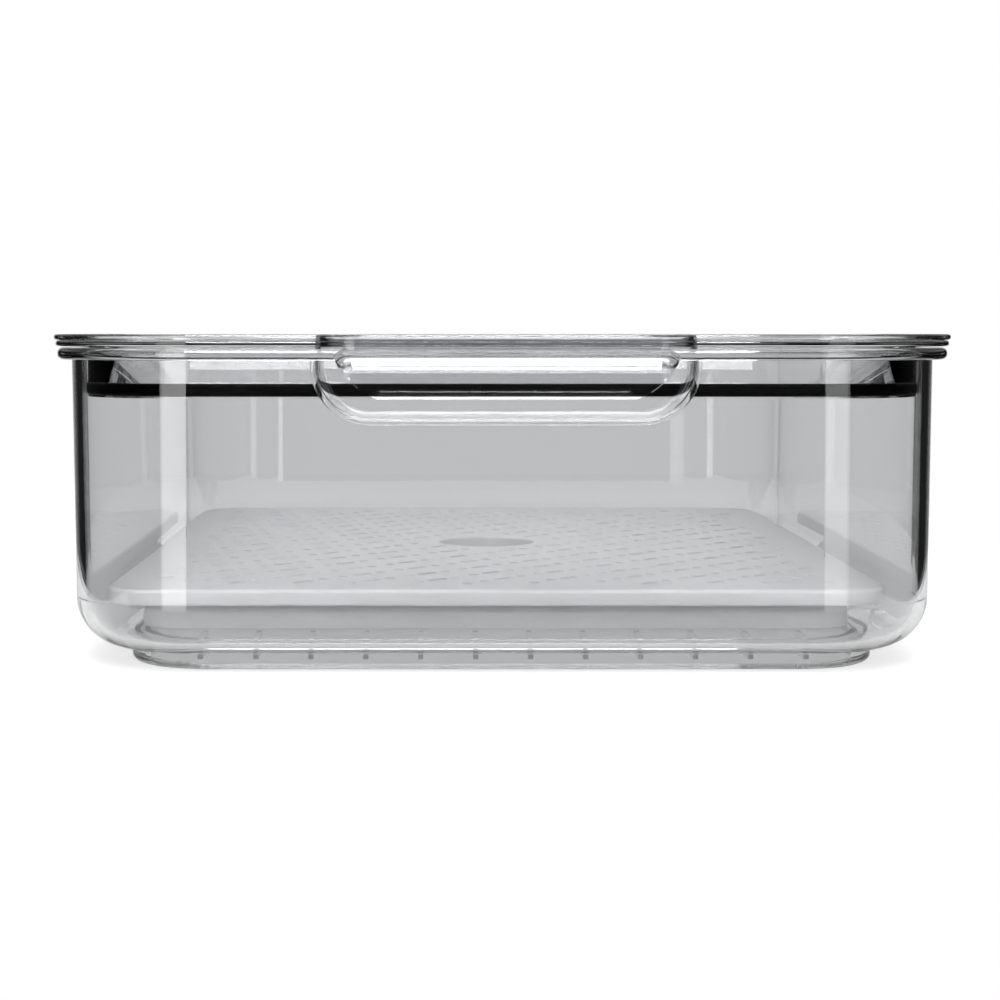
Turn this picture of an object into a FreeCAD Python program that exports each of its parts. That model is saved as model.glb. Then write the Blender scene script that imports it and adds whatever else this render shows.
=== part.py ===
"""Fridge bin: a clear tub with a front pull, a clear lid with a black seal, and a white drain tray.

Frame: millimetres, +Z up, the front with the pull faces -Y. The origin lies on the surface
the bin stands on, at the middle of its whole outline, front pull included.
"""
import FreeCAD, Part
import math
import os

from Sketcher import Constraint

DIMENSIONS = {
    # whole object
    "lid_width": 254.0,
    "lid_depth": 305.0,
    "total_height": 92.4,
    # tub
    "rim_width": 252.0,
    "rim_depth": 303.0,
    "rim_corner": 41.0,
    "rim_thick": 3.4,
    "rim_round": 1.56,
    "tub_width": 244.0,
    "tub_depth": 295.0,
    "tub_corner": 37.0,
    "tub_draft": 1.2,
    "tub_wall": 2.6,
    "tub_floor": 2.6,
    "tub_base_round": 14.0,
    "base_corner_less": 2.0,
    "foot_tall": 4.9,
    "foot_width": 211.0,
    "foot_depth": 262.0,
    "foot_corner": 24.0,
    "foot_thick": 5.0,
    "foot_round": 1.8,
    # small ribs under the floor that brace the foot ring
    "gusset_count": 12,
    "gusset_pitch": 15.2,
    "gusset_wide": 1.4,
    "gusset_long": 11.0,
    "gusset_tall": 2.4,
    # front pull, moulded on the tub
    "pull_width": 94.0,
    "pull_reach": 14.0,
    "pull_corner": 7.0,
    "pull_drop": 13.3,
    "pull_wall": 2.5,
    "pull_plate": 3.0,
    "pull_nose": 6.0,
    "pull_edge_round": 1.15,
    "lip_straight": 67.2,
    "lip_sweep_width": 90.0,
    "lip_sweep_bulge": 1.4,
    "ridge_width": 104.0,
    "ridge_drop": 20.5,
    "ridge_corner": 16.0,
    "ridge_proud": 3.0,
    "ridge_thick": 1.6,
    "ridge_round": 0.72,
    "dish_floor": 0.2,
    "dish_cove": 2.4,
    # lid
    "lid_corner": 42.0,
    "lid_seat_gap": 0.3,
    "bead_tall": 1.65,
    "bead_round": 0.74,
    "low_bead_step": 0.4,
    "bead_inset": 1.6,
    "lid_plate": 2.2,
    "lid_recess": 1.4,
    "lid_border": 9.0,
    "tab_width": 101.6,
    "tab_reach": 9.5,
    "tab_drop": 0.7,
    "tab_corner": 13.5,
    "tab_edge": 1.5,
    "tab_round": 0.8,
    "tab_overlap": 5.0,
    "plug_gap": 1.9,
    "plug_wall": 3.0,
    "plug_drop": 13.9,
    "plug_slope": 16.0,
    # seal
    "seal_tall": 3.5,
    "seal_sunk": 1.4,
    "seal_proud": 0.4,
    "seal_foot": 0.5,
    "seal_round": 0.98,
    # drain tray
    "tray_width": 222.0,
    "tray_depth": 248.0,
    "tray_corner": 14.0,
    "tray_top": 21.3,
    "tray_band": 4.4,
    "tray_offset": 1.5,
    "tray_plate": 2.0,
    "tray_wall": 1.8,
    "tray_inset": 9.6,
    "tray_round": 1.08,
    "skirt_corner": 10.0,
    "tray_seat_gap": 0.2,
    "finger_hole": 32.0,
    "collar_thick": 2.0,
    "finger_round": 0.7,
    "drain_step": 7.6,
    "drain_row": 12.0,
    "drain_round": 3.4,
    "drain_slot_long": 7.4,
    "drain_slot_wide": 3.0,
    "drain_margin": 13.8,
    # how far a cut runs past the solid, and how deep joined shapes go into each other
    "cut_past": 1.0,
    "joined": 0.5,
}

doc = FreeCAD.newDocument("fridge_bin")
sheet = doc.addObject("Spreadsheet::Sheet", "dims")
for row, (alias, size) in enumerate(DIMENSIONS.items(), start=1):
    sheet.set(f"A{row}", alias)
    sheet.set(f"B{row}", str(size))
    sheet.setAlias(f"B{row}", alias)
doc.recompute()

# Heights and half sizes that several pieces share, written as spreadsheet formulas.
TUB_TOP = "(dims.total_height - 2 * dims.bead_tall - dims.lid_seat_gap - 0.1)"
SEAT = f"({TUB_TOP} + dims.lid_seat_gap)"
RIM_BOTTOM = f"({TUB_TOP} - dims.rim_thick)"
FLOOR_TOP = "(dims.foot_tall + dims.tub_floor)"
TAPER = f"(2 * ({TUB_TOP} - dims.foot_tall) * tan(dims.tub_draft * 1 deg))"
INNER_WIDTH = "(dims.tub_width - 2 * dims.tub_wall)"
INNER_DEPTH = "(dims.tub_depth - 2 * dims.tub_wall)"
INNER_CORNER = "(dims.tub_corner - dims.tub_wall)"
INNER_TAPER = f"(2 * ({TUB_TOP} - {FLOOR_TOP}) * tan(dims.tub_draft * 1 deg))"
FRONT_WALL = "(dims.tub_depth / 2)"
PULL_BOTTOM = f"({TUB_TOP} - dims.pull_drop)"
PLUG_WIDTH = f"({INNER_WIDTH} - 2 * dims.plug_gap)"
PLUG_DEPTH = f"({INNER_DEPTH} - 2 * dims.plug_gap)"
PLUG_CORNER = f"({INNER_CORNER} - dims.plug_gap)"
PLUG_BOTTOM = f"({SEAT} - dims.plug_drop)"
SKIRT_WIDTH = "(dims.tray_width - 2 * dims.tray_inset)"
SKIRT_DEPTH = "(dims.tray_depth - 2 * dims.tray_inset)"
SKIRT_CORNER = "dims.skirt_corner"
SKIRT_BOTTOM = f"({FLOOR_TOP} + dims.tray_seat_gap)"
BODY_SHIFT = "dims.tab_reach / 2"

START, END, CENTRE = 1, 2, 3
ROOT = -1


def number(formula):
    """The value of a spreadsheet formula, in millimetres."""
    result = sheet.evalExpression(formula)
    return float(getattr(result, "Value", result))


def new_body(name):
    body = doc.addObject("PartDesign::Body", name)
    body.Label = name
    return body


def new_sketch(body, name, role="XY_Plane", offset="0"):
    """An empty sketch on one of the body's own origin planes, moved along the plane's normal."""
    sketch = body.newObject("Sketcher::SketchObject", name)
    plane = next(item for item in body.Origin.OriginFeatures if item.Role == role)
    sketch.AttachmentSupport = [(plane, "")]
    sketch.MapMode = "FlatFace"
    sketch.setExpression("AttachmentOffset.Base.z", offset)
    return sketch


def draw_rectangle(sketch, prefix, width, depth, corner):
    """A rectangle with rounded corners about the sketch's origin, bound to three formulas."""
    x, y, r = number(width) / 2, number(depth) / 2, number(corner)
    vector = FreeCAD.Vector
    ends = [
        ((-x + r, -y), (x - r, -y)),
        ((x, -y + r), (x, y - r)),
        ((x - r, y), (-x + r, y)),
        ((-x, y - r), (-x, -y + r)),
    ]
    lines = [sketch.addGeometry(Part.LineSegment(vector(*a, 0), vector(*b, 0))) for a, b in ends]
    arcs = []
    centres = [(x - r, -y + r), (x - r, y - r), (-x + r, y - r), (-x + r, -y + r)]
    for turn, centre in enumerate(centres):
        circle = Part.Circle(vector(*centre, 0), vector(0, 0, 1), r)
        first = math.radians(-90 + 90 * turn)
        arcs.append(sketch.addGeometry(Part.ArcOfCircle(circle, first, first + math.pi / 2)))
    constraint = sketch.addConstraint
    for turn in range(4):
        after = lines[(turn + 1) % 4]
        constraint(Constraint("Tangent", lines[turn], END, arcs[turn], START))
        constraint(Constraint("Tangent", arcs[turn], END, after, START))
    constraint(Constraint("Horizontal", lines[0]))
    constraint(Constraint("Vertical", lines[1]))
    constraint(Constraint("Horizontal", lines[2]))
    constraint(Constraint("Vertical", lines[3]))
    for arc in arcs[1:]:
        constraint(Constraint("Equal", arcs[0], arc))
    constraint(Constraint("Symmetric", arcs[0], CENTRE, arcs[2], CENTRE, ROOT, START))
    across = Constraint("DistanceX", lines[3], START, lines[1], START, 2 * x)
    along = Constraint("DistanceY", lines[0], START, lines[2], START, 2 * y)
    bind(sketch, across, f"{prefix}_width", width)
    bind(sketch, along, f"{prefix}_depth", depth)
    bind(sketch, Constraint("Radius", arcs[0], r), f"{prefix}_corner", corner)


def bind(sketch, constraint, name, formula):
    """Add a constraint under a name and let a formula drive it."""
    index = sketch.addConstraint(constraint)
    sketch.renameConstraint(index, name)
    sketch.setExpression(f"Constraints.{name}", formula)


def pad(body, sketch, name, length, backwards=False):
    feature = body.newObject("PartDesign::Pad", name)
    feature.Profile = sketch
    feature.setExpression("Length", length)
    feature.Reversed = backwards
    doc.recompute()
    return feature


def pocket(body, sketch, name, depth, backwards=False):
    """Cut a sketch out of the body, and stop if nothing was cut."""
    before = body.Shape.Volume
    feature = body.newObject("PartDesign::Pocket", name)
    feature.Profile = sketch
    feature.setExpression("Length", depth)
    feature.Reversed = backwards
    doc.recompute()
    if body.Shape.Volume > before - 0.1:
        raise RuntimeError(f"{name} cuts nothing")
    return feature


def taper(feature, angle="dims.tub_draft"):
    """Let a pad or pocket widen by the draft angle as it goes up."""
    feature.setExpression("TaperAngle", angle)
    doc.recompute()


def fillet(body, name, radius, wanted):
    """Round the edges of the body's last feature for which wanted(edge) is true."""
    base = body.Tip
    names = [f"Edge{i}" for i, edge in enumerate(base.Shape.Edges, start=1) if wanted(edge)]
    if not names:
        raise RuntimeError(f"{name} finds no edge")
    feature = body.newObject("PartDesign::Fillet", name)
    feature.Base = (base, names)
    feature.setExpression("Radius", radius)
    doc.recompute()
    return feature


def flat_at(edge, height, tolerance=0.01):
    """True for an edge that lies level at the height."""
    box = edge.BoundBox
    return abs(box.ZMin - height) < tolerance and abs(box.ZMax - height) < tolerance


def make_pull(body_name):
    """The front pull: a plate at rim height whose edge turns down into a lip for four fingers.

    It is open below and behind the lip. The lip's lower edge sweeps up at both ends.
    """
    body = new_body(body_name)
    blank = new_sketch(body, "pull_outline", offset=PULL_BOTTOM)
    draw_rectangle(
        blank,
        "pull",
        "dims.pull_width",
        f"2 * ({FRONT_WALL} + dims.pull_reach)",
        "dims.pull_corner",
    )
    pad(body, blank, "pull_block", "dims.pull_drop")

    top = number(TUB_TOP)
    bottom = number(PULL_BOTTOM)
    front = number(f"2 * ({FRONT_WALL} + dims.pull_reach)")
    width = number("dims.pull_width")

    def on_front(edge, height):
        return flat_at(edge, height) and edge.BoundBox.YMax < -number(f"{FRONT_WALL} - dims.pull_plate")

    fillet(body, "pull_nose_round", "dims.pull_nose", lambda edge: on_front(edge, top))

    hollow = new_sketch(body, "pull_hollow_outline", offset=PULL_BOTTOM)
    draw_rectangle(
        hollow,
        "hollow",
        "dims.pull_width - 2 * dims.pull_wall",
        f"2 * ({FRONT_WALL} + dims.pull_reach - dims.pull_wall)",
        "dims.pull_corner - dims.pull_wall",
    )
    pocket(body, hollow, "pull_hollow", "dims.pull_drop - dims.pull_plate", backwards=True)
    roof = number(f"{TUB_TOP} - dims.pull_plate")
    fillet(body, "pull_roof_round", "dims.pull_nose - dims.pull_wall", lambda edge: on_front(edge, roof))

    # The sweep: everything outside a shape with wide round lower corners is cut off the lip.
    sweep = new_sketch(body, "lip_sweep_outline", role="XZ_Plane")
    draw_sweep(sweep)
    pocket(body, sweep, "lip_sweep", f"{FRONT_WALL} + 2 * dims.pull_reach", backwards=True)

    # Only what stands in front of the wall is kept; it overlaps the wall by half its thickness.
    behind = new_sketch(body, "pull_back_outline", offset=f"{PULL_BOTTOM} - dims.cut_past")
    draw_box(behind, -width, -number(f"{FRONT_WALL} - dims.tub_wall / 2"), width, front)
    pocket(body, behind, "pull_back_cut", "dims.pull_drop + 2 * dims.cut_past", backwards=True)

    def on_lip(edge):
        return flat_at(edge, bottom) and edge.BoundBox.YMax < -number(f"{FRONT_WALL} + dims.pull_wall")

    fillet(body, "lip_edge_round", "dims.pull_edge_round", on_lip)
    return body


def draw_box(sketch, left, low, right, high):
    """A plain closed rectangle, used for cuts that only have to clear the solid."""
    vector = FreeCAD.Vector
    corners = [(left, low), (right, low), (right, high), (left, high)]
    for here, there in zip(corners, corners[1:] + corners[:1]):
        sketch.addGeometry(Part.LineSegment(vector(*here, 0), vector(*there, 0)))


def draw_sweep(sketch):
    """Two corner pieces, each bounded by an arc, that the lip's lower ends lose."""
    vector = FreeCAD.Vector
    low = number(PULL_BOTTOM)
    high = number(f"{TUB_TOP} - dims.pull_plate")
    inner, outer = number("dims.lip_straight / 2"), number("dims.lip_sweep_width / 2")
    past = number("dims.cut_past")
    clear = number("dims.pull_width / 2") + past
    length = math.hypot(outer - inner, high - low)
    bulge = number("dims.lip_sweep_bulge")
    turn_x = (inner + outer) / 2 + bulge * (high - low) / length
    turn_z = (low + high) / 2 - bulge * (outer - inner) / length
    for side in (-1, 1):
        start = vector(side * inner, low, 0)
        finish = vector(side * outer, high, 0)
        sketch.addGeometry(Part.Arc(start, vector(side * turn_x, turn_z, 0), finish))
        above = vector(side * clear, high, 0)
        beside = vector(side * clear, low - past, 0)
        below = vector(side * inner, low - past, 0)
        path = [finish, above, beside, below, start]
        for here, there in zip(path, path[1:]):
            sketch.addGeometry(Part.LineSegment(here, there))


def make_cavity(body_name):
    """The space inside the tub, with its round lower edge, as a solid to be cut away."""
    body = new_body(body_name)
    floor = new_sketch(body, "inside_outline", offset=FLOOR_TOP)
    draw_rectangle(
        floor,
        "floor",
        f"{INNER_WIDTH} - {INNER_TAPER}",
        f"{INNER_DEPTH} - {INNER_TAPER}",
        f"{INNER_CORNER} - dims.base_corner_less",
    )
    taper(pad(body, floor, "inside", f"{TUB_TOP} - {FLOOR_TOP} + dims.cut_past"))
    level = number(FLOOR_TOP)
    fillet(body, "floor_round", "dims.tub_base_round - dims.tub_wall", lambda edge: flat_at(edge, level))
    return body


def combine(body, name, kind, tool):
    """Join another body to this one, or cut it away."""
    feature = body.newObject("PartDesign::Boolean", name)
    feature.setObjects([tool])
    feature.Type = kind
    doc.recompute()
    return feature


def make_tub():
    """The clear tub: tapered walls, round base edge, rim bead, foot ring and front pull."""
    body = new_body("tub_shell")
    low = new_sketch(body, "outside_outline", offset="dims.foot_tall")
    draw_rectangle(
        low,
        "low",
        f"dims.tub_width - {TAPER}",
        f"dims.tub_depth - {TAPER}",
        "dims.tub_corner - dims.base_corner_less",
    )
    taper(pad(body, low, "outside", f"{TUB_TOP} - dims.foot_tall"))
    base = number("dims.foot_tall")
    fillet(body, "base_round", "dims.tub_base_round", lambda edge: flat_at(edge, base))

    add_ridge(body)

    rim = new_sketch(body, "rim_outline", offset=RIM_BOTTOM)
    draw_rectangle(rim, "rim", "dims.rim_width", "dims.rim_depth", "dims.rim_corner")
    pad(body, rim, "rim_bead", "dims.rim_thick")
    rim_width, rim_depth = number("dims.rim_width"), number("dims.rim_depth")
    heights = (number(TUB_TOP), number(RIM_BOTTOM))
    fillet(
        body,
        "rim_round",
        "dims.rim_round",
        lambda edge: any(flat_at(edge, level) for level in heights)
        and reach_of_loop(edge, rim_width, rim_depth, number("dims.rim_corner")),
    )

    combine(body, "cut_inside", "Cut", make_cavity("cavity_shape"))

    foot = new_sketch(body, "foot_outline", offset="0")
    draw_rectangle(foot, "outer", "dims.foot_width", "dims.foot_depth", "dims.foot_corner")
    draw_rectangle(
        foot,
        "inner",
        "dims.foot_width - 2 * dims.foot_thick",
        "dims.foot_depth - 2 * dims.foot_thick",
        "dims.foot_corner - dims.foot_thick",
    )
    pad(body, foot, "foot_ring", "dims.foot_tall + dims.joined")
    fillet(body, "foot_round", "dims.foot_round", lambda edge: flat_at(edge, 0.0))
    add_gussets(body)

    combine(body, "join_pull", "Fuse", make_pull("pull_shape"))
    body.Label = "bin_body"
    body.setExpression("Placement.Base.y", BODY_SHIFT)
    doc.recompute()
    return body


def add_gussets(body):
    """Rows of small ribs, front and back, from the foot ring's inner face along the underside."""
    row = new_sketch(body, "gusset_outline", offset="dims.foot_tall - dims.gusset_tall")
    half = number("dims.gusset_wide / 2")
    first = -number("(dims.gusset_count - 1) / 2 * dims.gusset_pitch")
    ring = number("dims.foot_depth / 2 - dims.foot_thick + dims.joined")
    end = ring - number("dims.gusset_long + dims.joined")
    for side in (-1, 1):
        draw_box(row, first - half, side * ring, first + half, side * end)
    rib = pad(body, row, "gusset", "dims.gusset_tall + dims.joined")
    pattern = body.newObject("PartDesign::LinearPattern", "gusset_row")
    pattern.Originals = [rib]
    pattern.Direction = (row, ["H_Axis"])
    pattern.setExpression("Length", "(dims.gusset_count - 1) * dims.gusset_pitch")
    pattern.setExpression("Occurrences", "dims.gusset_count")
    body.Tip = pattern
    doc.recompute()


def reach_of_loop(edge, width, depth, corner):
    """True for any edge of the rounded rectangle of this size, its corner arcs included."""
    point = edge.valueAt((edge.FirstParameter + edge.LastParameter) / 2)
    x, y = abs(point.x), abs(point.y)
    if abs(x - width / 2) < 0.05 or abs(y - depth / 2) < 0.05:
        return True
    from_centre = math.hypot(x - (width / 2 - corner), y - (depth / 2 - corner))
    return x > width / 2 - corner and y > depth / 2 - corner and abs(from_centre - corner) < 0.1


def add_ridge(body):
    """A raised U-shaped border on the front wall that frames the finger space under the pull."""
    proud = f"{FRONT_WALL} + dims.ridge_proud"
    border_top = number(f"{TUB_TOP} - dims.rim_thick / 2")
    border_low = number(f"{TUB_TOP} - dims.ridge_drop")
    border = new_sketch(body, "ridge_outline", role="XZ_Plane", offset=proud)
    draw_u(border, 0)
    pad(body, border, "ridge_block", "dims.ridge_proud + dims.tub_wall / 2", backwards=True)
    dish = new_sketch(body, "dish_outline", role="XZ_Plane", offset=proud)
    draw_u(dish, number("dims.ridge_thick"))
    pocket(body, dish, "dish", "dims.ridge_proud - dims.dish_floor")
    front = -number(proud)
    back = front + number("dims.ridge_proud - dims.dish_floor")

    def at_depth(edge, place):
        box = edge.BoundBox
        below_rim = box.ZMin < border_top - number("dims.rim_thick / 2")
        return abs(box.YMin - place) < 0.01 and abs(box.YMax - place) < 0.01 and below_rim

    def inside_border(edge):
        return at_depth(edge, back) and edge.BoundBox.ZMin > border_low + number("dims.joined")

    fillet(body, "dish_cove", "dims.dish_cove", inside_border)
    fillet(body, "ridge_round", "dims.ridge_round", lambda edge: at_depth(edge, front))


def draw_u(sketch, inset):
    """A U-shaped outline, open side up, that ends inside the rim bead."""
    vector = FreeCAD.Vector
    half = number("dims.ridge_width") / 2 - inset
    top = number(TUB_TOP) - number("dims.rim_thick") / 2
    low = number(TUB_TOP) - number("dims.ridge_drop") + inset
    radius = number("dims.ridge_corner") - inset
    diagonal = radius * math.sqrt(0.5)
    left_top = vector(-half, top, 0)
    left = vector(-half, low + radius, 0)
    left_turn = vector(-half + radius - diagonal, low + radius - diagonal, 0)
    left_low = vector(-half + radius, low, 0)
    right_low = vector(half - radius, low, 0)
    right_turn = vector(half - radius + diagonal, low + radius - diagonal, 0)
    right = vector(half, low + radius, 0)
    right_top = vector(half, top, 0)
    sketch.addGeometry(Part.LineSegment(left_top, left))
    sketch.addGeometry(Part.Arc(left, left_turn, left_low))
    sketch.addGeometry(Part.LineSegment(left_low, right_low))
    sketch.addGeometry(Part.Arc(right_low, right_turn, right))
    sketch.addGeometry(Part.LineSegment(right, right_top))
    sketch.addGeometry(Part.LineSegment(right_top, left_top))


def make_tab(body_name):
    """The flat tab of the lid that covers the top of the pull, with a thin edge turned down."""
    body = new_body(body_name)
    reach = "2 * (dims.lid_depth / 2 + dims.tab_reach)"
    low = f"({SEAT} - dims.tab_drop)"
    outline = new_sketch(body, "tab_outline", offset=low)
    draw_rectangle(outline, "tab", "dims.tab_width", reach, "dims.tab_corner")
    pad(body, outline, "tab_block", f"dims.total_height - {low}")
    top = number("dims.total_height")
    fillet(body, "tab_round", "dims.tab_round", lambda edge: flat_at(edge, top))
    under = new_sketch(body, "tab_under_outline", offset=low)
    draw_rectangle(
        under,
        "under",
        "dims.tab_width - 2 * dims.tab_edge",
        f"{reach} - 2 * dims.tab_edge",
        "dims.tab_corner - dims.tab_edge",
    )
    pocket(body, under, "tab_under", "dims.tab_drop", backwards=True)
    wide = number("dims.tab_width")
    seat = new_sketch(body, "tab_seat_outline", offset=low)
    draw_box(seat, -wide, -number("dims.rim_depth / 2 + dims.lid_seat_gap"), wide, number(reach))
    pocket(body, seat, "tab_seat_cut", "dims.tab_drop", backwards=True)
    rear = new_sketch(body, "tab_rear_outline", offset=f"{low} - dims.cut_past")
    draw_box(rear, -wide, -number("dims.lid_depth / 2 - dims.tab_overlap"), wide, number(reach))
    pocket(body, rear, "tab_rear_cut", f"dims.total_height - {low} + 2 * dims.cut_past", backwards=True)
    return body


def make_lid():
    """The clear lid: a rim of two round beads, a sunk panel, and a plug wall with a seal groove."""
    body = new_body("lid")
    core = new_sketch(body, "core_outline", offset=SEAT)
    draw_rectangle(
        core,
        "core",
        "dims.lid_width - 2 * dims.bead_inset",
        "dims.lid_depth - 2 * dims.bead_inset",
        "dims.lid_corner - dims.bead_inset",
    )
    pad(body, core, "core_slab", f"dims.total_height - {SEAT}")
    low_width = "(dims.lid_width - 2 * dims.low_bead_step)"
    low_depth = "(dims.lid_depth - 2 * dims.low_bead_step)"
    add_bead(body, "low_bead", SEAT, low_width, low_depth)
    add_bead(body, "high_bead", "(dims.total_height - dims.bead_tall)", "dims.lid_width", "dims.lid_depth")
    combine(body, "join_tab", "Fuse", make_tab("tab_shape"))

    panel = new_sketch(body, "panel_outline", offset="dims.total_height")
    draw_rectangle(
        panel,
        "panel",
        "dims.lid_width - 2 * dims.lid_border",
        "dims.lid_depth - 2 * dims.lid_border",
        "dims.lid_corner - dims.lid_border",
    )
    pocket(body, panel, "panel_recess", "dims.lid_recess")

    plug = new_sketch(body, "plug_outline", offset=PLUG_BOTTOM)
    draw_rectangle(plug, "plug", PLUG_WIDTH, PLUG_DEPTH, PLUG_CORNER)
    pad(body, plug, "plug", "dims.plug_drop")
    hollow = new_sketch(body, "plug_hollow_outline", offset=PLUG_BOTTOM)
    draw_rectangle(
        hollow,
        "hollow",
        f"{PLUG_WIDTH} - 2 * dims.plug_wall",
        f"{PLUG_DEPTH} - 2 * dims.plug_wall",
        f"{PLUG_CORNER} - dims.plug_wall",
    )
    underside = "(dims.total_height - dims.lid_recess - dims.lid_plate)"
    # The plug's inner face leans, so that its wall is thicker where it meets the panel.
    taper(pocket(body, hollow, "plug_hollow", f"{underside} - {PLUG_BOTTOM}", backwards=True),
          "-dims.plug_slope")

    groove = new_sketch(body, "groove_outline", offset=f"{PLUG_BOTTOM} + dims.seal_foot")
    draw_rectangle(
        groove,
        "outer",
        f"{PLUG_WIDTH} + 2 * dims.cut_past",
        f"{PLUG_DEPTH} + 2 * dims.cut_past",
        f"{PLUG_CORNER} + dims.cut_past",
    )
    draw_rectangle(
        groove,
        "inner",
        f"{PLUG_WIDTH} - 2 * dims.seal_sunk",
        f"{PLUG_DEPTH} - 2 * dims.seal_sunk",
        f"{PLUG_CORNER} - dims.seal_sunk",
    )
    pocket(body, groove, "seal_groove", "dims.seal_tall", backwards=True)
    body.setExpression("Placement.Base.y", BODY_SHIFT)
    doc.recompute()
    return body


def add_bead(body, name, level, width, depth):
    """One round bead of the lid's rim, with its lower edge at the level."""
    outline = new_sketch(body, f"{name}_outline", offset=level)
    draw_rectangle(outline, "bead", width, depth, "dims.lid_corner")
    pad(body, outline, name, "dims.bead_tall")
    ends = (number(level), number(f"{level} + dims.bead_tall"))
    size = (number(width), number(depth), number("dims.lid_corner"))
    fillet(
        body,
        f"{name}_round",
        "dims.bead_round",
        lambda edge: any(flat_at(edge, end) for end in ends) and reach_of_loop(edge, *size),
    )


def make_seal():
    """The black rubber ring that sits in the groove round the lid's plug."""
    body = new_body("lid_gasket")
    outline = new_sketch(body, "seal_outline", offset=f"{PLUG_BOTTOM} + dims.seal_foot")
    draw_rectangle(
        outline,
        "outer",
        f"{PLUG_WIDTH} + 2 * dims.seal_proud",
        f"{PLUG_DEPTH} + 2 * dims.seal_proud",
        f"{PLUG_CORNER} + dims.seal_proud",
    )
    draw_rectangle(
        outline,
        "inner",
        f"{PLUG_WIDTH} - 2 * dims.seal_sunk",
        f"{PLUG_DEPTH} - 2 * dims.seal_sunk",
        f"{PLUG_CORNER} - dims.seal_sunk",
    )
    pad(body, outline, "seal_ring", "dims.seal_tall")
    size = (
        number(f"{PLUG_WIDTH} + 2 * dims.seal_proud"),
        number(f"{PLUG_DEPTH} + 2 * dims.seal_proud"),
        number(f"{PLUG_CORNER} + dims.seal_proud"),
    )
    fillet(body, "seal_round", "dims.seal_round", lambda edge: reach_of_loop(edge, *size))
    body.setExpression("Placement.Base.y", BODY_SHIFT)
    doc.recompute()
    return body


def make_tray_blank():
    """The drain tray before its small holes: a deck with a turned-down edge on a standing wall."""
    body = new_body("tray_blank")
    deck = new_sketch(body, "deck_outline", offset="dims.tray_top - dims.tray_band")
    draw_rectangle(deck, "deck", "dims.tray_width", "dims.tray_depth", "dims.tray_corner")
    pad(body, deck, "deck", "dims.tray_band")
    top = number("dims.tray_top")
    fillet(body, "deck_round", "dims.tray_round", lambda edge: flat_at(edge, top))
    under = new_sketch(body, "under_outline", offset="dims.tray_top - dims.tray_band")
    draw_rectangle(
        under,
        "under",
        "dims.tray_width - 2 * dims.tray_wall",
        "dims.tray_depth - 2 * dims.tray_wall",
        "dims.tray_corner - dims.tray_wall",
    )
    pocket(body, under, "deck_under", "dims.tray_band - dims.tray_plate", backwards=True)

    skirt = new_sketch(body, "skirt_outline", offset=SKIRT_BOTTOM)
    draw_rectangle(skirt, "outer", SKIRT_WIDTH, SKIRT_DEPTH, SKIRT_CORNER)
    draw_rectangle(
        skirt,
        "inner",
        f"{SKIRT_WIDTH} - 2 * dims.tray_wall",
        f"{SKIRT_DEPTH} - 2 * dims.tray_wall",
        f"{SKIRT_CORNER} - dims.tray_wall",
    )
    pad(body, skirt, "skirt", f"dims.tray_top - dims.tray_plate / 2 - {SKIRT_BOTTOM}")

    collar = new_sketch(body, "collar_outline", offset="dims.tray_top - dims.tray_band")
    draw_circle(collar, "collar", "dims.finger_hole / 2 + dims.collar_thick")
    pad(body, collar, "collar", "dims.tray_band - dims.tray_plate / 2")
    hole = new_sketch(body, "finger_outline", offset="dims.tray_top")
    draw_circle(hole, "finger", "dims.finger_hole / 2")
    pocket(body, hole, "finger_hole", "dims.tray_band + dims.cut_past")
    lip = number("dims.finger_hole / 2")

    def on_finger_edge(edge):
        return flat_at(edge, top) and edge.BoundBox.XMax < lip + 0.1

    fillet(body, "finger_round", "dims.finger_round", on_finger_edge)
    return body


def draw_circle(sketch, name, radius):
    """A circle about the sketch's origin, bound to a formula."""
    circle = sketch.addGeometry(Part.Circle(FreeCAD.Vector(), FreeCAD.Vector(0, 0, 1), number(radius)))
    sketch.addConstraint(Constraint("Coincident", circle, CENTRE, ROOT, START))
    bind(sketch, Constraint("Radius", circle, number(radius)), name, radius)


def drain_cutters():
    """Upright pins and slots for the deck: every third hole along a diagonal row is a slot."""
    step, row_gap = number("dims.drain_step"), number("dims.drain_row")
    low = number("dims.tray_top - dims.tray_plate - dims.cut_past / 2")
    tall = number("dims.tray_plate + dims.cut_past")
    free_x = number("dims.tray_width / 2 - dims.drain_margin")
    free_y = number("dims.tray_depth / 2 - dims.drain_margin")
    keep_off = number("dims.finger_hole / 2 + dims.collar_thick + dims.drain_slot_long / 2")
    long, wide = number("dims.drain_slot_long"), number("dims.drain_slot_wide")
    count = int((free_x + free_y) / step)
    cutters = []
    for row in range(-count, count + 1):
        for place in range(-count, count + 1):
            along, across = place * step, row * row_gap
            x = (along + across) * math.sqrt(0.5)
            y = (along - across) * math.sqrt(0.5)
            if abs(x) > free_x or abs(y) > free_y or math.hypot(x, y) < keep_off:
                continue
            if (place + row) % 3 == 0:
                cutters.append(slot_prism(long, wide, tall, FreeCAD.Vector(x, y, low)))
            else:
                radius = number("dims.drain_round") / 2
                cutters.append(Part.makeCylinder(radius, tall, FreeCAD.Vector(x, y, low)))
    return cutters


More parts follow.
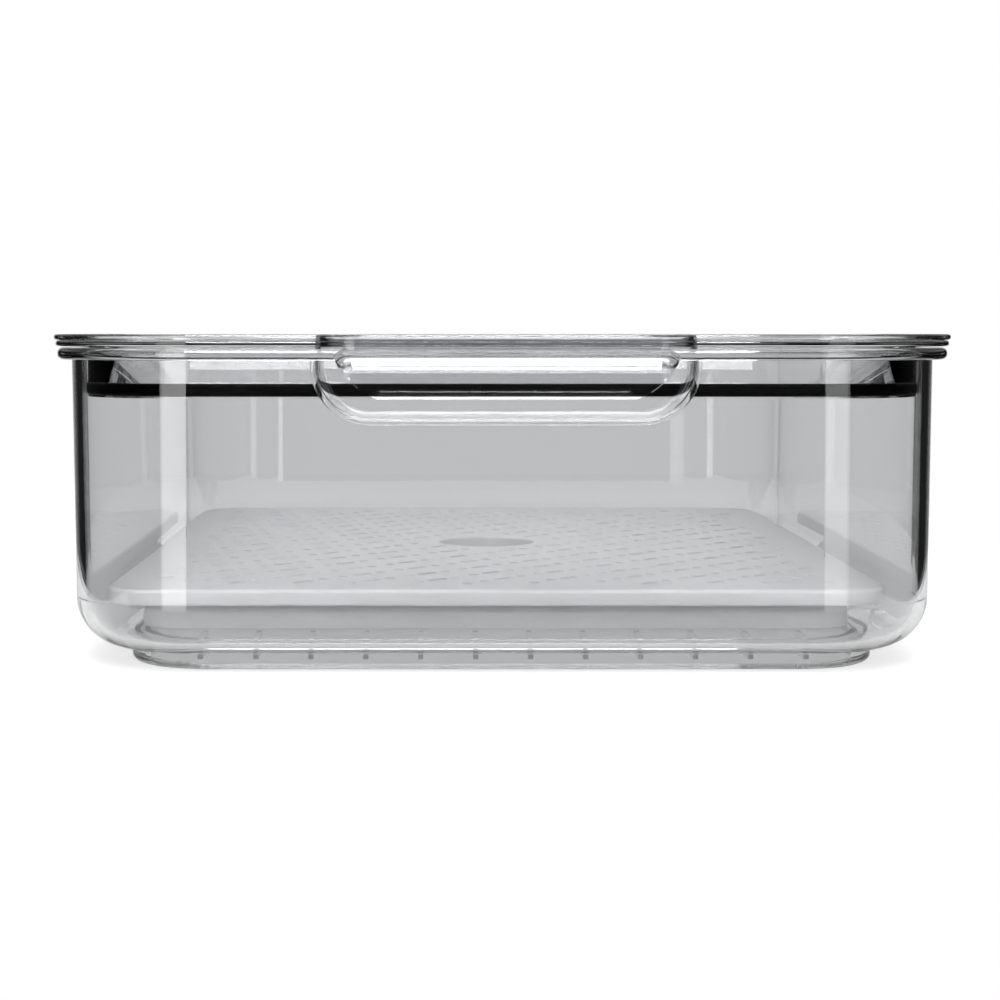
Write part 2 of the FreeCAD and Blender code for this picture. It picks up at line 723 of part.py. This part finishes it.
def slot_prism(long, wide, tall, place):
    """A slot with round ends that lies along the diagonal."""
    half, radius = (long - wide) / 2, wide / 2
    vector = FreeCAD.Vector
    low_left, low_right = vector(-half, -radius, 0), vector(half, -radius, 0)
    high_left, high_right = vector(-half, radius, 0), vector(half, radius, 0)
    edges = [
        Part.LineSegment(low_left, low_right),
        Part.Arc(low_right, vector(long / 2, 0, 0), high_right),
        Part.LineSegment(high_right, high_left),
        Part.Arc(high_left, vector(-long / 2, 0, 0), low_left),
    ]
    outline = Part.Wire([edge.toShape() for edge in edges])
    prism = Part.Face(outline).extrude(vector(0, 0, tall))
    prism.rotate(vector(), vector(0, 0, 1), 45)
    prism.translate(place)
    return prism


def make_tray():
    """The finished drain tray. It lies loose in the tub, a little to the left of the middle."""
    blank = make_tray_blank()
    cutters = doc.addObject("Part::Feature", "tray_openings")
    cutters.Shape = Part.makeCompound(drain_cutters())
    tray = doc.addObject("Part::Cut", "tray")
    tray.Base = blank
    tray.Tool = cutters
    tray.Label = "drain_tray"
    tray.setExpression("Placement.Base.x", "-dims.tray_offset")
    tray.setExpression("Placement.Base.y", BODY_SHIFT)
    doc.recompute()
    return tray


def check_document():
    """Stop if any object failed or came out with a shape that is empty or not valid."""
    for item in doc.Objects:
        if "Invalid" in item.State or "Error" in item.State:
            raise RuntimeError(f"{item.Name} failed: {item.State}")


def export(pieces):
    os.makedirs("parts", exist_ok=True)
    for piece in pieces:
        shape = piece.Shape
        if shape.isNull() or not shape.isValid() or len(shape.Solids) != 1:
            raise RuntimeError(f"{piece.Label} is not one valid solid")
        shape.exportStep(f"parts/{piece.Label}.step")
        box = shape.optimalBoundingBox(False, False)
        low = (round(box.XMin, 2), round(box.YMin, 2), round(box.ZMin, 2))
        high = (round(box.XMax, 2), round(box.YMax, 2), round(box.ZMax, 2))
        print(piece.Label, round(shape.Volume), "mm3", low, high)


pieces = [make_tub(), make_lid(), make_seal(), make_tray()]
check_document()
export(pieces)
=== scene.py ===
"""Looks, camera and light for the fridge bin. Metres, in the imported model's own frame."""
import math

import bpy
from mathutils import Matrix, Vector


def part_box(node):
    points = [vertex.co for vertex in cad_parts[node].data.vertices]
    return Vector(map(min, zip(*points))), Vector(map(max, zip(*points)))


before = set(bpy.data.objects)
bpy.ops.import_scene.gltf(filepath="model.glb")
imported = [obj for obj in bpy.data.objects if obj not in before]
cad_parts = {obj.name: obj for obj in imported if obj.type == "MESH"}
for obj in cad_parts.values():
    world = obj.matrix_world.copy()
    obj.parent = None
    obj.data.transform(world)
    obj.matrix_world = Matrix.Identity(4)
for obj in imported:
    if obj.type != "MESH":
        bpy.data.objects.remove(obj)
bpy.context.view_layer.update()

# Camera: level with the top of the lid, so the lid's rim is seen edge on.
CAMERA_DISTANCE = 0.4975
LENS, SENSOR = 68.0, 36.0
NEAREST_SEEN = 0.01
# It stands a little to the left of the middle, and its shift moves the bin back into the picture.
CAMERA_LEFT = 0.0177
SHIFT_RIGHT, SHIFT_UP = 0.0608, -0.166
# The lid's length from its straight front edge, without the tab, to its back edge.
LID_LENGTH = 0.305

# The light table. It lies a hair below the foot ring, so that no two faces coincide.
FLOOR_WIDTH, FLOOR_FRONT, FLOOR_BACK = 0.46, -0.19, 0.60
FLOOR_GAP = 0.0003
# Light levels of the studio round the object, 1 being plain white, and what its sides keep of them.
FRONT_LEVEL, BACK_LEVEL, CEILING_LEVEL = 0.03, 0.75, 0.5
SIDE_SHARE = 0.02
# Glow of the light table: as the camera sees it, and as it lights the object.
FLOOR_SEEN, FLOOR_GLOW = 0.72, 0.42
# How strongly the clear plastic absorbs light, per metre.
TUB_DENSITY, LID_DENSITY = 60.0, 10.0


# ---------------------------------------------------------------- nodes

def new_material(name):
    """A node material: itself, its nodes and links, and its Principled shader."""
    material = bpy.data.materials.new(name)
    material.use_nodes = True
    nodes = material.node_tree.nodes
    return material, nodes, material.node_tree.links, nodes["Principled BSDF"]


def noise(nodes, links, scale, detail=2.0, stretch=(1, 1, 1)):
    """Noise in object space; stretch squeezes it along an axis."""
    place = nodes.new("ShaderNodeTexCoord")
    mapping = nodes.new("ShaderNodeMapping")
    mapping.inputs["Scale"].default_value = stretch
    texture = nodes.new("ShaderNodeTexNoise")
    texture.inputs["Scale"].default_value = scale
    texture.inputs["Detail"].default_value = detail
    links.new(place.outputs["Object"], mapping.inputs["Vector"])
    links.new(mapping.outputs["Vector"], texture.inputs["Vector"])
    return texture.outputs["Fac"]


def remap(nodes, links, source, low, high):
    """Map a 0-1 value onto low-high."""
    ramp = nodes.new("ShaderNodeMapRange")
    ramp.inputs["To Min"].default_value = low
    ramp.inputs["To Max"].default_value = high
    links.new(source, ramp.inputs["Value"])
    return ramp.outputs["Result"]


def calculate(nodes, links, operation, first, second=None):
    """One math node."""
    math_node = nodes.new("ShaderNodeMath")
    math_node.operation = operation
    links.new(first, math_node.inputs[0])
    if second is not None:
        links.new(second, math_node.inputs[1])
    return math_node.outputs["Value"]


def fade(nodes, links, source, span, levels):
    """A smooth step from one level to another over a span of the source."""
    step = nodes.new("ShaderNodeMapRange")
    step.interpolation_type = "SMOOTHSTEP"
    step.inputs["From Min"].default_value, step.inputs["From Max"].default_value = span
    step.inputs["To Min"].default_value, step.inputs["To Max"].default_value = levels
    links.new(source, step.inputs["Value"])
    return step.outputs["Result"]


def add_bump(nodes, links, shader, height, strength, distance):
    """A bump from a height."""
    bump = nodes.new("ShaderNodeBump")
    bump.inputs["Strength"].default_value = strength
    bump.inputs["Distance"].default_value = distance
    links.new(height, bump.inputs["Height"])
    links.new(bump.outputs["Normal"], shader.inputs["Normal"])


# ---------------------------------------------------------------- materials

def clear_plastic(name, density):
    """Polished clear moulded plastic: slightly grey, with faint flow waves from moulding."""
    material, nodes, links, shader = new_material(name)
    shader.inputs["Base Color"].default_value = (0.97, 0.975, 0.98, 1.0)
    shader.inputs["Transmission Weight"].default_value = 1.0
    shader.inputs["IOR"].default_value = 1.57
    haze = remap(nodes, links, noise(nodes, links, 60.0, 3.0), 0.0, 0.02)
    links.new(haze, shader.inputs["Roughness"])
    waves = noise(nodes, links, 14.0, 1.0, (0.6, 0.6, 1.6))
    add_bump(nodes, links, shader, waves, 0.04, 0.001)
    absorb = nodes.new("ShaderNodeVolumeAbsorption")
    absorb.inputs["Color"].default_value = (0.50, 0.51, 0.52, 1.0)
    absorb.inputs["Density"].default_value = density
    links.new(absorb.outputs["Volume"], nodes["Material Output"].inputs["Volume"])
    return material


def black_rubber():
    """Matte black silicone rubber with a very fine moulded grain."""
    material, nodes, links, shader = new_material("black_silicone")
    shader.inputs["Base Color"].default_value = (0.0015, 0.0015, 0.0016, 1.0)
    shader.inputs["Specular IOR Level"].default_value = 0.05
    rough = remap(nodes, links, noise(nodes, links, 400.0, 3.0), 0.38, 0.55)
    links.new(rough, shader.inputs["Roughness"])
    add_bump(nodes, links, shader, noise(nodes, links, 1500.0, 2.0), 0.15, 0.0001)
    return material


def frosted_plastic():
    """White translucent moulded plastic with a fine satin texture."""
    material, nodes, links, shader = new_material("frosted_white")
    shader.inputs["Base Color"].default_value = (0.88, 0.885, 0.89, 1.0)
    shader.inputs["IOR"].default_value = 1.49
    shader.inputs["Subsurface Weight"].default_value = 0.6
    shader.inputs["Subsurface Radius"].default_value = (1.0, 1.0, 1.0)
    shader.inputs["Subsurface Scale"].default_value = 0.004
    rough = remap(nodes, links, noise(nodes, links, 220.0, 3.0), 0.34, 0.5)
    links.new(rough, shader.inputs["Roughness"])
    add_bump(nodes, links, shader, noise(nodes, links, 900.0, 3.0), 0.2, 0.00015)
    return material


def floor_paint():
    """Acrylic of a light table, which glows a little, so that shadows on it stay faint."""
    material, nodes, links, shader = new_material("floor_white")
    shader.inputs["Base Color"].default_value = (0.28, 0.28, 0.28, 1.0)
    shader.inputs["Specular IOR Level"].default_value = 0.1
    shader.inputs["Emission Color"].default_value = (1.0, 1.0, 1.0, 1.0)
    seen = nodes.new("ShaderNodeLightPath")
    links.new(remap(nodes, links, seen.outputs["Is Camera Ray"], FLOOR_GLOW, FLOOR_SEEN),
              shader.inputs["Emission Strength"])
    rough = remap(nodes, links, noise(nodes, links, 8.0, 2.0), 0.75, 0.85)
    links.new(rough, shader.inputs["Roughness"])
    return material


def dress(node, material):
    """Give a CAD node its material."""
    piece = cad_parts[node]
    piece.data.materials.clear()
    piece.data.materials.append(material)


# The tub's plastic absorbs more light than the lid's.
dress("bin_body", clear_plastic("clear_tub", TUB_DENSITY))
dress("lid", clear_plastic("clear_lid", LID_DENSITY))
dress("lid_gasket", black_rubber())
dress("drain_tray", frosted_plastic())


# ---------------------------------------------------------------- floor, light and camera

def make_floor():
    """The light table's flat top."""
    bpy.ops.mesh.primitive_plane_add(size=1.0, location=(0, (FLOOR_FRONT + FLOOR_BACK) / 2, -FLOOR_GAP))
    floor = bpy.context.object
    floor.name = "floor"
    floor.scale = (FLOOR_WIDTH, FLOOR_BACK - FLOOR_FRONT, 1.0)
    floor.data.materials.append(floor_paint())


def area_light(name, place, target, width, height, power):
    """A rectangular soft light that looks at a point, itself unseen by the camera."""
    data = bpy.data.lights.new(name, "AREA")
    data.shape = "RECTANGLE"
    data.size = width
    data.size_y = height
    data.energy = power
    lamp = bpy.data.objects.new(name, data)
    bpy.context.scene.collection.objects.link(lamp)
    lamp.location = place
    lamp.rotation_euler = (Vector(target) - Vector(place)).to_track_quat("-Z", "Y").to_euler()
    lamp.visible_camera = False


def make_world():
    """A studio with a pale backdrop behind, a bright ceiling, and dark sides and front.

    The backdrop itself is seen as plain white.
    """
    world = bpy.data.worlds.new("studio")
    bpy.context.scene.world = world
    world.use_nodes = True
    nodes, links = world.node_tree.nodes, world.node_tree.links
    place = nodes.new("ShaderNodeTexCoord")
    split = nodes.new("ShaderNodeSeparateXYZ")
    links.new(place.outputs["Generated"], split.inputs["Vector"])
    across = calculate(nodes, links, "ABSOLUTE", split.outputs["X"])
    behind = fade(nodes, links, split.outputs["Y"], (-0.2, 0.5), (FRONT_LEVEL, BACK_LEVEL))
    sides = fade(nodes, links, across, (0.30, 0.50), (1.0, SIDE_SHARE))
    ceiling = fade(nodes, links, split.outputs["Z"], (0.05, 0.30), (0.0, CEILING_LEVEL))
    level = calculate(nodes, links, "MULTIPLY", behind, sides)
    level = calculate(nodes, links, "MAXIMUM", level, ceiling)
    seen = nodes.new("ShaderNodeLightPath")
    mix = nodes.new("ShaderNodeMix")
    mix.data_type = "FLOAT"
    mix.inputs["B"].default_value = 1.0
    links.new(seen.outputs["Is Camera Ray"], mix.inputs["Factor"])
    links.new(level, mix.inputs["A"])
    nodes["Background"].inputs["Color"].default_value = (1.0, 1.0, 1.0, 1.0)
    links.new(mix.outputs["Result"], nodes["Background"].inputs["Strength"])


def make_camera(rim_front, lid_top):
    """A level camera in front of the bin, at the height of the lid's top."""
    data = bpy.data.cameras.new("camera")
    camera = bpy.data.objects.new("camera", data)
    bpy.context.scene.collection.objects.link(camera)
    bpy.context.scene.camera = camera
    data.sensor_width = SENSOR
    data.lens = LENS
    data.shift_x, data.shift_y = SHIFT_RIGHT, SHIFT_UP
    data.dof.use_dof = False
    data.clip_start = NEAREST_SEEN
    camera.location = (-CAMERA_LEFT, rim_front - CAMERA_DISTANCE, lid_top)
    camera.rotation_euler = (math.pi / 2, 0, 0)


lid_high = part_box("lid")[1]

make_floor()
make_world()
bpy.context.scene.view_settings.view_transform = "Standard"
area_light("top_softbox", place=(0, -0.05, 0.95), target=(0, 0, 0.05), width=1.2, height=1.2, power=5)
area_light("front_softbox", place=(0, -0.70, 0.64), target=(0, -0.15, 0.085), width=0.40, height=0.55,
           power=14)
# Upright panels beside the camera, three nested on each side: they show as one light streak in each
# front corner, brightest in its middle.
for share in (1.0, 0.7, 0.4):
    area_light(f"left_panel_{share}", place=(-0.169, -0.35, 0.12), target=(-0.09, -0.14, 0.12),
               width=0.080 * share, height=0.5, power=0.32 * share)
    area_light(f"right_panel_{share}", place=(0.186, -0.35, 0.12), target=(0.09, -0.14, 0.12),
               width=0.072 * share, height=0.5, power=0.19 * share)
make_camera(rim_front=lid_high.y - LID_LENGTH, lid_top=lid_high.z)
